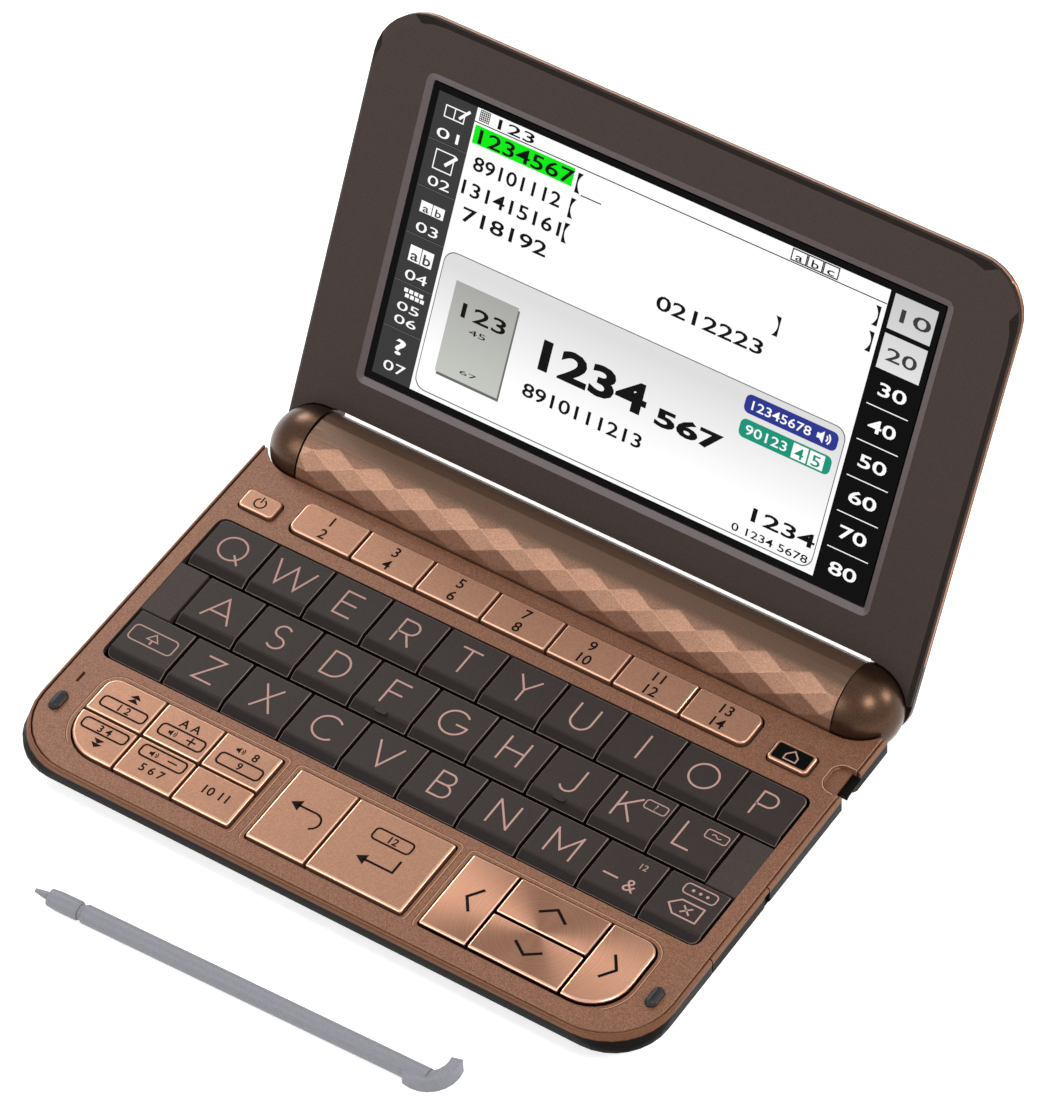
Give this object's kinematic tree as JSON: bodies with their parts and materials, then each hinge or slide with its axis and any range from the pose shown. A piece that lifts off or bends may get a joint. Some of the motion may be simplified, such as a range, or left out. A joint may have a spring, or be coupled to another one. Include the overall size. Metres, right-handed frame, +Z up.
{
  "type": "electronic dictionary",
  "caption": "Folding electronic dictionary with a lettered keyboard, copper function keys, a faceted battery barrel at the hinge, a tilting screen lid and a separate stylus.",
  "frame": {"origin": "on the table plane, under the middle of the footprint of the open object and its stylus", "axes": "+X to the right along the hinge, +Y from the front edge towards the hinge, +Z up"},
  "size_m": [0.1484, 0.1704, 0.0929],
  "materials": {
    "bronze_painted_metal": "satin bronze paint",
    "dark_plastic": "matt dark brown",
    "copper_plated_key": "copper-coloured metallic coating",
    "dark_key_plastic": "matt charcoal brown",
    "bronze_barrel_paint": "metallic bronze paint",
    "bronze_lid_paint": "metallic bronze paint",
    "dark_bezel_plastic": "matt dark brown",
    "screen_glass": "glossy black cover glass over the display",
    "cell_steel": "bright cell casing",
    "grey_stylus_plastic": "satin grey",
    "black_home_key": "black with a bronze edge"
  },
  "bodies": {
    "base": {"bottom_case": "dark_plastic", "top_case": "bronze_painted_metal", "hinge_barrel": "bronze_barrel_paint", "battery_pair": "cell_steel"},
    "lid": {"lid_back_cover": "bronze_lid_paint", "lid_bezel": "dark_bezel_plastic", "display_panel": "screen_glass"},
    "battery_cover": {"battery_cover": "dark_plastic"},
    "port_cover": {"port_cover": "bronze_painted_metal"},
    "stylus": {"stylus": "grey_stylus_plastic"},
    "back_key": {"back_key": "copper_plated_key"},
    "cursor_down_key": {"cursor_down_key": "copper_plated_key"},
    "cursor_left_key": {"cursor_left_key": "copper_plated_key"},
    "cursor_right_key": {"cursor_right_key": "copper_plated_key"},
    "cursor_up_key": {"cursor_up_key": "copper_plated_key"},
    "delete_key": {"delete_key": "dark_key_plastic"},
    "enter_key": {"enter_key": "copper_plated_key"},
    "function_key_1": {"function_key_1": "copper_plated_key"},
    "function_key_2": {"function_key_2": "copper_plated_key"},
    "function_key_3": {"function_key_3": "copper_plated_key"},
    "function_key_4": {"function_key_4": "copper_plated_key"},
    "function_key_5": {"function_key_5": "copper_plated_key"},
    "function_key_6": {"function_key_6": "copper_plated_key"},
    "function_key_7": {"function_key_7": "copper_plated_key"},
    "history_key": {"history_key": "copper_plated_key"},
    "home_key": {"home_key": "black_home_key"},
    "jump_key": {"jump_key": "copper_plated_key"},
    "key_a": {"key_a": "dark_key_plastic"},
    "key_b": {"key_b": "dark_key_plastic"},
    "key_c": {"key_c": "dark_key_plastic"},
    "key_d": {"key_d": "dark_key_plastic"},
    "key_e": {"key_e": "dark_key_plastic"},
    "key_f": {"key_f": "dark_key_plastic"},
    "key_g": {"key_g": "dark_key_plastic"},
    "key_h": {"key_h": "dark_key_plastic"},
    "key_i": {"key_i": "dark_key_plastic"},
    "key_j": {"key_j": "dark_key_plastic"},
    "key_k": {"key_k": "dark_key_plastic"},
    "key_l": {"key_l": "dark_key_plastic"},
    "key_m": {"key_m": "dark_key_plastic"},
    "key_n": {"key_n": "dark_key_plastic"},
    "key_o": {"key_o": "dark_key_plastic"},
    "key_p": {"key_p": "dark_key_plastic"},
    "key_q": {"key_q": "dark_key_plastic"},
    "key_r": {"key_r": "dark_key_plastic"},
    "key_s": {"key_s": "dark_key_plastic"},
    "key_t": {"key_t": "dark_key_plastic"},
    "key_u": {"key_u": "dark_key_plastic"},
    "key_v": {"key_v": "dark_key_plastic"},
    "key_w": {"key_w": "dark_key_plastic"},
    "key_x": {"key_x": "dark_key_plastic"},
    "key_y": {"key_y": "dark_key_plastic"},
    "key_z": {"key_z": "dark_key_plastic"},
    "larger_text_key": {"larger_text_key": "copper_plated_key"},
    "next_entry_key": {"next_entry_key": "copper_plated_key"},
    "power_key": {"power_key": "copper_plated_key"},
    "previous_entry_key": {"previous_entry_key": "copper_plated_key"},
    "shift_key": {"shift_key": "dark_key_plastic"},
    "speech_guide_key": {"speech_guide_key": "copper_plated_key"},
    "symbol_key": {"symbol_key": "dark_key_plastic"}
  },
  "joints": [
    {"name": "lid_hinge", "type": "hinge", "parent": "base", "child": "lid", "pos_m": [0, 0.03471, 0.0094], "axis": [1, 0, 0], "range_deg": [-12, 118]},
    {"name": "port_cover_hinge", "type": "hinge", "parent": "base", "child": "port_cover", "pos_m": [0.0742, -0.02374, 0.0057], "axis": [0, 1, 0], "range_deg": [0, 90]},
    {"name": "battery_cover_slide", "type": "slide", "parent": "base", "child": "battery_cover", "axis": [0, 1, 0], "range_m": [0, 0.012]},
    {"name": "stylus_lift", "type": "slide", "parent": "base", "child": "stylus", "axis": [0, 0, 1], "range_m": [0, 0.06]},
    {"name": "back_key_press", "type": "slide", "parent": "base", "child": "back_key", "axis": [0, 0, -1], "range_m": [0, 0.001], "stiffness_N_per_m": 250, "springref_m": -0.0004},
    {"name": "cursor_down_key_press", "type": "slide", "parent": "base", "child": "cursor_down_key", "axis": [0, 0, -1], "range_m": [0, 0.001], "stiffness_N_per_m": 250, "springref_m": -0.0004},
    {"name": "cursor_left_key_press", "type": "slide", "parent": "base", "child": "cursor_left_key", "axis": [0, 0, -1], "range_m": [0, 0.001], "stiffness_N_per_m": 250, "springref_m": -0.0004},
    {"name": "cursor_right_key_press", "type": "slide", "parent": "base", "child": "cursor_right_key", "axis": [0, 0, -1], "range_m": [0, 0.001], "stiffness_N_per_m": 250, "springref_m": -0.0004},
    {"name": "cursor_up_key_press", "type": "slide", "parent": "base", "child": "cursor_up_key", "axis": [0, 0, -1], "range_m": [0, 0.001], "stiffness_N_per_m": 250, "springref_m": -0.0004},
    {"name": "delete_key_press", "type": "slide", "parent": "base", "child": "delete_key", "axis": [0, 0, -1], "range_m": [0, 0.001], "stiffness_N_per_m": 250, "springref_m": -0.0004},
    {"name": "enter_key_press", "type": "slide", "parent": "base", "child": "enter_key", "axis": [0, 0, -1], "range_m": [0, 0.001], "stiffness_N_per_m": 250, "springref_m": -0.0004},
    {"name": "function_key_1_press", "type": "slide", "parent": "base", "child": "function_key_1", "axis": [0, 0, -1], "range_m": [0, 0.0006], "stiffness_N_per_m": 250, "springref_m": -0.0004},
    {"name": "function_key_2_press", "type": "slide", "parent": "base", "child": "function_key_2", "axis": [0, 0, -1], "range_m": [0, 0.0006], "stiffness_N_per_m": 250, "springref_m": -0.0004},
    {"name": "function_key_3_press", "type": "slide", "parent": "base", "child": "function_key_3", "axis": [0, 0, -1], "range_m": [0, 0.0006], "stiffness_N_per_m": 250, "springref_m": -0.0004},
    {"name": "function_key_4_press", "type": "slide", "parent": "base", "child": "function_key_4", "axis": [0, 0, -1], "range_m": [0, 0.0006], "stiffness_N_per_m": 250, "springref_m": -0.0004},
    {"name": "function_key_5_press", "type": "slide", "parent": "base", "child": "function_key_5", "axis": [0, 0, -1], "range_m": [0, 0.0006], "stiffness_N_per_m": 250, "springref_m": -0.0004},
    {"name": "function_key_6_press", "type": "slide", "parent": "base", "child": "function_key_6", "axis": [0, 0, -1], "range_m": [0, 0.0006], "stiffness_N_per_m": 250, "springref_m": -0.0004},
    {"name": "function_key_7_press", "type": "slide", "parent": "base", "child": "function_key_7", "axis": [0, 0, -1], "range_m": [0, 0.0006], "stiffness_N_per_m": 250, "springref_m": -0.0004},
    {"name": "history_key_press", "type": "slide", "parent": "base", "child": "history_key", "axis": [0, 0, -1], "range_m": [0, 0.001], "stiffness_N_per_m": 250, "springref_m": -0.0004},
    {"name": "home_key_press", "type": "slide", "parent": "base", "child": "home_key", "axis": [0, 0, -1], "range_m": [0, 0.0006], "stiffness_N_per_m": 250, "springref_m": -0.0004},
    {"name": "jump_key_press", "type": "slide", "parent": "base", "child": "jump_key", "axis": [0, 0, -1], "range_m": [0, 0.001], "stiffness_N_per_m": 250, "springref_m": -0.0004},
    {"name": "key_a_press", "type": "slide", "parent": "base", "child": "key_a", "axis": [0, 0, -1], "range_m": [0, 0.001], "stiffness_N_per_m": 250, "springref_m": -0.0004},
    {"name": "key_b_press", "type": "slide", "parent": "base", "child": "key_b", "axis": [0, 0, -1], "range_m": [0, 0.001], "stiffness_N_per_m": 250, "springref_m": -0.0004},
    {"name": "key_c_press", "type": "slide", "parent": "base", "child": "key_c", "axis": [0, 0, -1], "range_m": [0, 0.001], "stiffness_N_per_m": 250, "springref_m": -0.0004},
    {"name": "key_d_press", "type": "slide", "parent": "base", "child": "key_d", "axis": [0, 0, -1], "range_m": [0, 0.001], "stiffness_N_per_m": 250, "springref_m": -0.0004},
    {"name": "key_e_press", "type": "slide", "parent": "base", "child": "key_e", "axis": [0, 0, -1], "range_m": [0, 0.001], "stiffness_N_per_m": 250, "springref_m": -0.0004},
    {"name": "key_f_press", "type": "slide", "parent": "base", "child": "key_f", "axis": [0, 0, -1], "range_m": [0, 0.001], "stiffness_N_per_m": 250, "springref_m": -0.0004},
    {"name": "key_g_press", "type": "slide", "parent": "base", "child": "key_g", "axis": [0, 0, -1], "range_m": [0, 0.001], "stiffness_N_per_m": 250, "springref_m": -0.0004},
    {"name": "key_h_press", "type": "slide", "parent": "base", "child": "key_h", "axis": [0, 0, -1], "range_m": [0, 0.001], "stiffness_N_per_m": 250, "springref_m": -0.0004},
    {"name": "key_i_press", "type": "slide", "parent": "base", "child": "key_i", "axis": [0, 0, -1], "range_m": [0, 0.001], "stiffness_N_per_m": 250, "springref_m": -0.0004},
    {"name": "key_j_press", "type": "slide", "parent": "base", "child": "key_j", "axis": [0, 0, -1], "range_m": [0, 0.001], "stiffness_N_per_m": 250, "springref_m": -0.0004},
    {"name": "key_k_press", "type": "slide", "parent": "base", "child": "key_k", "axis": [0, 0, -1], "range_m": [0, 0.001], "stiffness_N_per_m": 250, "springref_m": -0.0004},
    {"name": "key_l_press", "type": "slide", "parent": "base", "child": "key_l", "axis": [0, 0, -1], "range_m": [0, 0.001], "stiffness_N_per_m": 250, "springref_m": -0.0004},
    {"name": "key_m_press", "type": "slide", "parent": "base", "child": "key_m", "axis": [0, 0, -1], "range_m": [0, 0.001], "stiffness_N_per_m": 250, "springref_m": -0.0004},
    {"name": "key_n_press", "type": "slide", "parent": "base", "child": "key_n", "axis": [0, 0, -1], "range_m": [0, 0.001], "stiffness_N_per_m": 250, "springref_m": -0.0004},
    {"name": "key_o_press", "type": "slide", "parent": "base", "child": "key_o", "axis": [0, 0, -1], "range_m": [0, 0.001], "stiffness_N_per_m": 250, "springref_m": -0.0004},
    {"name": "key_p_press", "type": "slide", "parent": "base", "child": "key_p", "axis": [0, 0, -1], "range_m": [0, 0.001], "stiffness_N_per_m": 250, "springref_m": -0.0004},
    {"name": "key_q_press", "type": "slide", "parent": "base", "child": "key_q", "axis": [0, 0, -1], "range_m": [0, 0.001], "stiffness_N_per_m": 250, "springref_m": -0.0004},
    {"name": "key_r_press", "type": "slide", "parent": "base", "child": "key_r", "axis": [0, 0, -1], "range_m": [0, 0.001], "stiffness_N_per_m": 250, "springref_m": -0.0004},
    {"name": "key_s_press", "type": "slide", "parent": "base", "child": "key_s", "axis": [0, 0, -1], "range_m": [0, 0.001], "stiffness_N_per_m": 250, "springref_m": -0.0004},
    {"name": "key_t_press", "type": "slide", "parent": "base", "child": "key_t", "axis": [0, 0, -1], "range_m": [0, 0.001], "stiffness_N_per_m": 250, "springref_m": -0.0004},
    {"name": "key_u_press", "type": "slide", "parent": "base", "child": "key_u", "axis": [0, 0, -1], "range_m": [0, 0.001], "stiffness_N_per_m": 250, "springref_m": -0.0004},
    {"name": "key_v_press", "type": "slide", "parent": "base", "child": "key_v", "axis": [0, 0, -1], "range_m": [0, 0.001], "stiffness_N_per_m": 250, "springref_m": -0.0004},
    {"name": "key_w_press", "type": "slide", "parent": "base", "child": "key_w", "axis": [0, 0, -1], "range_m": [0, 0.001], "stiffness_N_per_m": 250, "springref_m": -0.0004},
    {"name": "key_x_press", "type": "slide", "parent": "base", "child": "key_x", "axis": [0, 0, -1], "range_m": [0, 0.001], "stiffness_N_per_m": 250, "springref_m": -0.0004},
    {"name": "key_y_press", "type": "slide", "parent": "base", "child": "key_y", "axis": [0, 0, -1], "range_m": [0, 0.001], "stiffness_N_per_m": 250, "springref_m": -0.0004},
    {"name": "key_z_press", "type": "slide", "parent": "base", "child": "key_z", "axis": [0, 0, -1], "range_m": [0, 0.001], "stiffness_N_per_m": 250, "springref_m": -0.0004},
    {"name": "larger_text_key_press", "type": "slide", "parent": "base", "child": "larger_text_key", "axis": [0, 0, -1], "range_m": [0, 0.001], "stiffness_N_per_m": 250, "springref_m": -0.0004},
    {"name": "next_entry_key_press", "type": "slide", "parent": "base", "child": "next_entry_key", "axis": [0, 0, -1], "range_m": [0, 0.001], "stiffness_N_per_m": 250, "springref_m": -0.0004},
    {"name": "power_key_press", "type": "slide", "parent": "base", "child": "power_key", "axis": [0, 0, -1], "range_m": [0, 0.0006], "stiffness_N_per_m": 250, "springref_m": -0.0004},
    {"name": "previous_entry_key_press", "type": "slide", "parent": "base", "child": "previous_entry_key", "axis": [0, 0, -1], "range_m": [0, 0.001], "stiffness_N_per_m": 250, "springref_m": -0.0004},
    {"name": "shift_key_press", "type": "slide", "parent": "base", "child": "shift_key", "axis": [0, 0, -1], "range_m": [0, 0.001], "stiffness_N_per_m": 250, "springref_m": -0.0004},
    {"name": "speech_guide_key_press", "type": "slide", "parent": "base", "child": "speech_guide_key", "axis": [0, 0, -1], "range_m": [0, 0.001], "stiffness_N_per_m": 250, "springref_m": -0.0004},
    {"name": "symbol_key_press", "type": "slide", "parent": "base", "child": "symbol_key", "axis": [0, 0, -1], "range_m": [0, 0.001], "stiffness_N_per_m": 250, "springref_m": -0.0004}
  ]
}
